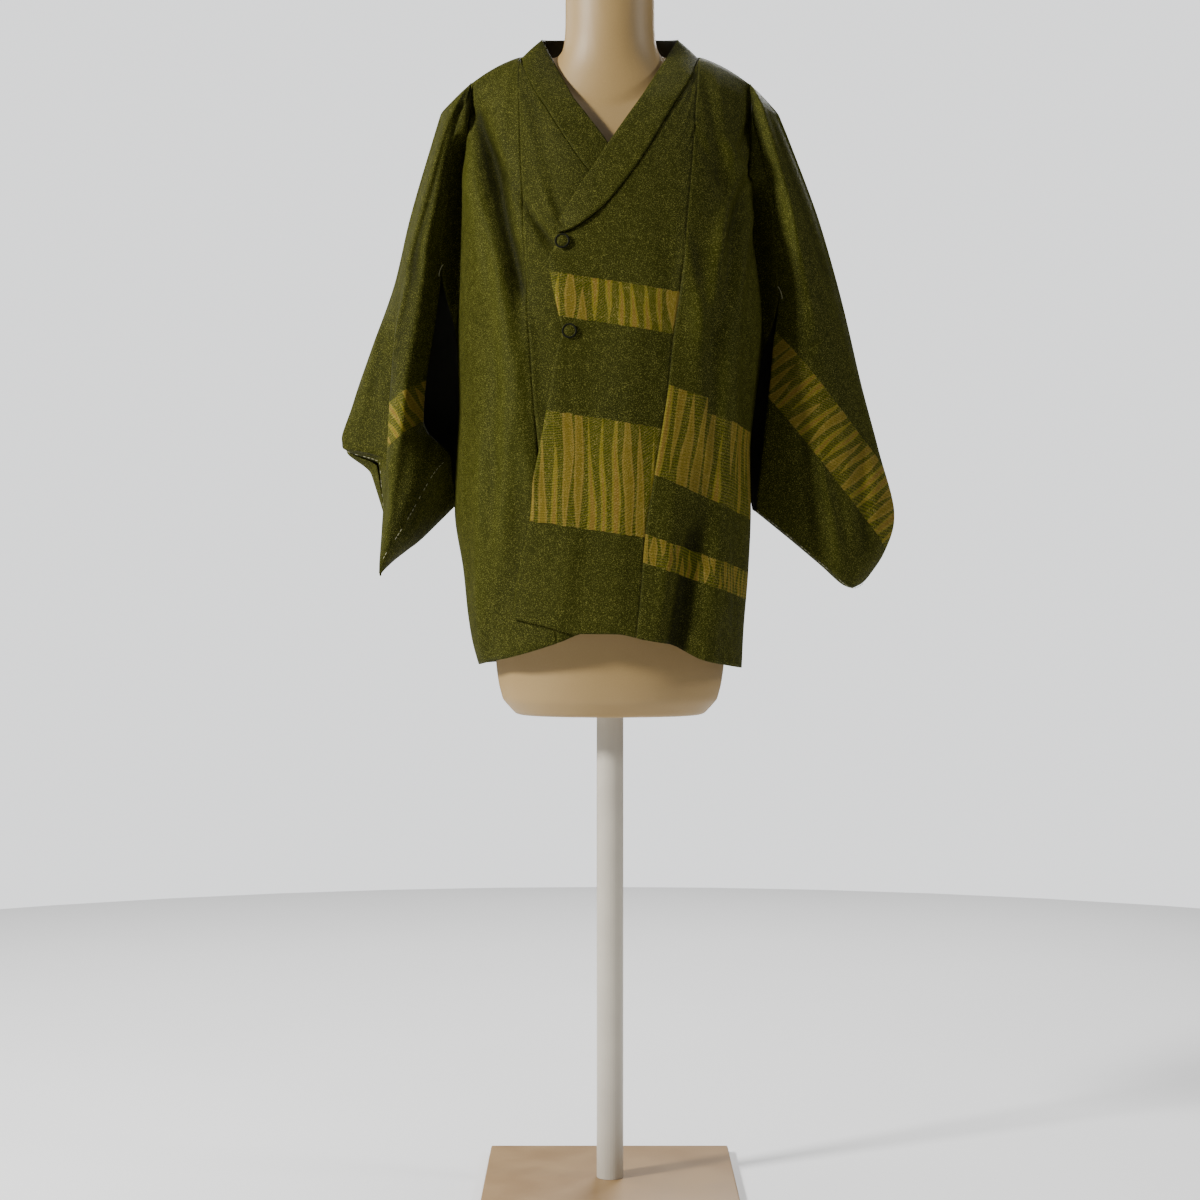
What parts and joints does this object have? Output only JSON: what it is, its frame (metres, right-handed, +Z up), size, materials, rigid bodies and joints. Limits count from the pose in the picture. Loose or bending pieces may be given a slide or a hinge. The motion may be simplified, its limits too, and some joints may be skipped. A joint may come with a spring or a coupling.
{
  "type": "kimono half coat on dress form",
  "caption": "Open-sleeved kimono half coat with a crossed front and narrow collar, worn by a limbless dress form on a pole with a square base plate.",
  "frame": {"origin": "centre of the underside of the square base plate, on the floor", "axes": "+Z up, +X towards the wearer's left, the coat's front faces -Y"},
  "size_m": [0.6631, 0.3, 1.44],
  "materials": {
    "coat_cloth": "ribbed woven silk-like cloth, olive with light flecks",
    "button_cloth": "cloth-covered",
    "form_cover": "smooth cream",
    "pole_metal": "satin",
    "base_paint": "satin cream"
  },
  "bodies": {
    "root": {"body_left": "coat_cloth", "body_right": "coat_cloth", "overlap_left": "coat_cloth", "overlap_right": "coat_cloth", "collar": "coat_cloth", "sleeve_left": "coat_cloth", "sleeve_right": "coat_cloth", "button_upper": "button_cloth", "button_lower": "button_cloth", "form_torso": "form_cover", "form_pole": "pole_metal", "form_base": "base_paint"}
  },
  "joints": []
}
